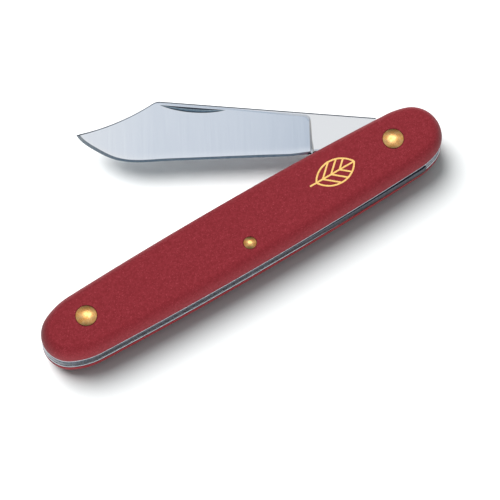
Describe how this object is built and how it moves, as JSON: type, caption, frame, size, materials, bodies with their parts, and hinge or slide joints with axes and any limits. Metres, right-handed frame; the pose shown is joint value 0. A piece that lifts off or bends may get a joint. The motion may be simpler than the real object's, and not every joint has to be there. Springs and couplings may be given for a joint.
{
  "type": "grafting knife",
  "caption": "Folding grafting knife with red moulded scales, steel liners, back spring and a straight-edged clipped blade held half open.",
  "frame": {"origin": "pivot axis, in the plane of the back scale's flat outer face", "axes": "+X along the handle toward its pivot end, +Y toward the side the blade opens on, +Z out of the front scale"},
  "size_m": [0.0992, 0.0476, 0.0133],
  "materials": {
    "red_nylon": "matt moulded nylon",
    "blade_steel": "satin ground",
    "liner_steel": "rolled sheet",
    "spring_steel": "cross ground",
    "rivet_brass": "polished",
    "gold_foil": "satin"
  },
  "bodies": {
    "handle": {"back_liner": "liner_steel", "back_scale": "red_nylon", "back_spring_root": "spring_steel", "centre_head_back": "rivet_brass", "centre_head_front": "rivet_brass", "centre_pin": "rivet_brass", "end_head_back": "rivet_brass", "end_head_front": "rivet_brass", "end_pin": "rivet_brass", "front_liner": "liner_steel", "front_scale": "red_nylon", "leaf_inlay": "gold_foil", "pivot_head_back": "rivet_brass", "pivot_head_front": "rivet_brass", "pivot_pin": "rivet_brass"},
    "blade": {"blade": "blade_steel"},
    "spring_arm": {"back_spring_arm": "spring_steel"}
  },
  "joints": [
    {"name": "blade_pivot", "type": "hinge", "parent": "handle", "child": "blade", "pos_m": [0, 0, 0], "axis": [0, 0, -1], "range_deg": [-31.7, 143.4]},
    {"name": "spring_flex", "type": "hinge", "parent": "handle", "child": "spring_arm", "pos_m": [-0.039, -0.0042, 0], "axis": [0, 0, -1], "range_deg": [0, 0.5], "stiffness_Nm_per_rad": 0.02, "springref_deg": -11.46}
  ]
}
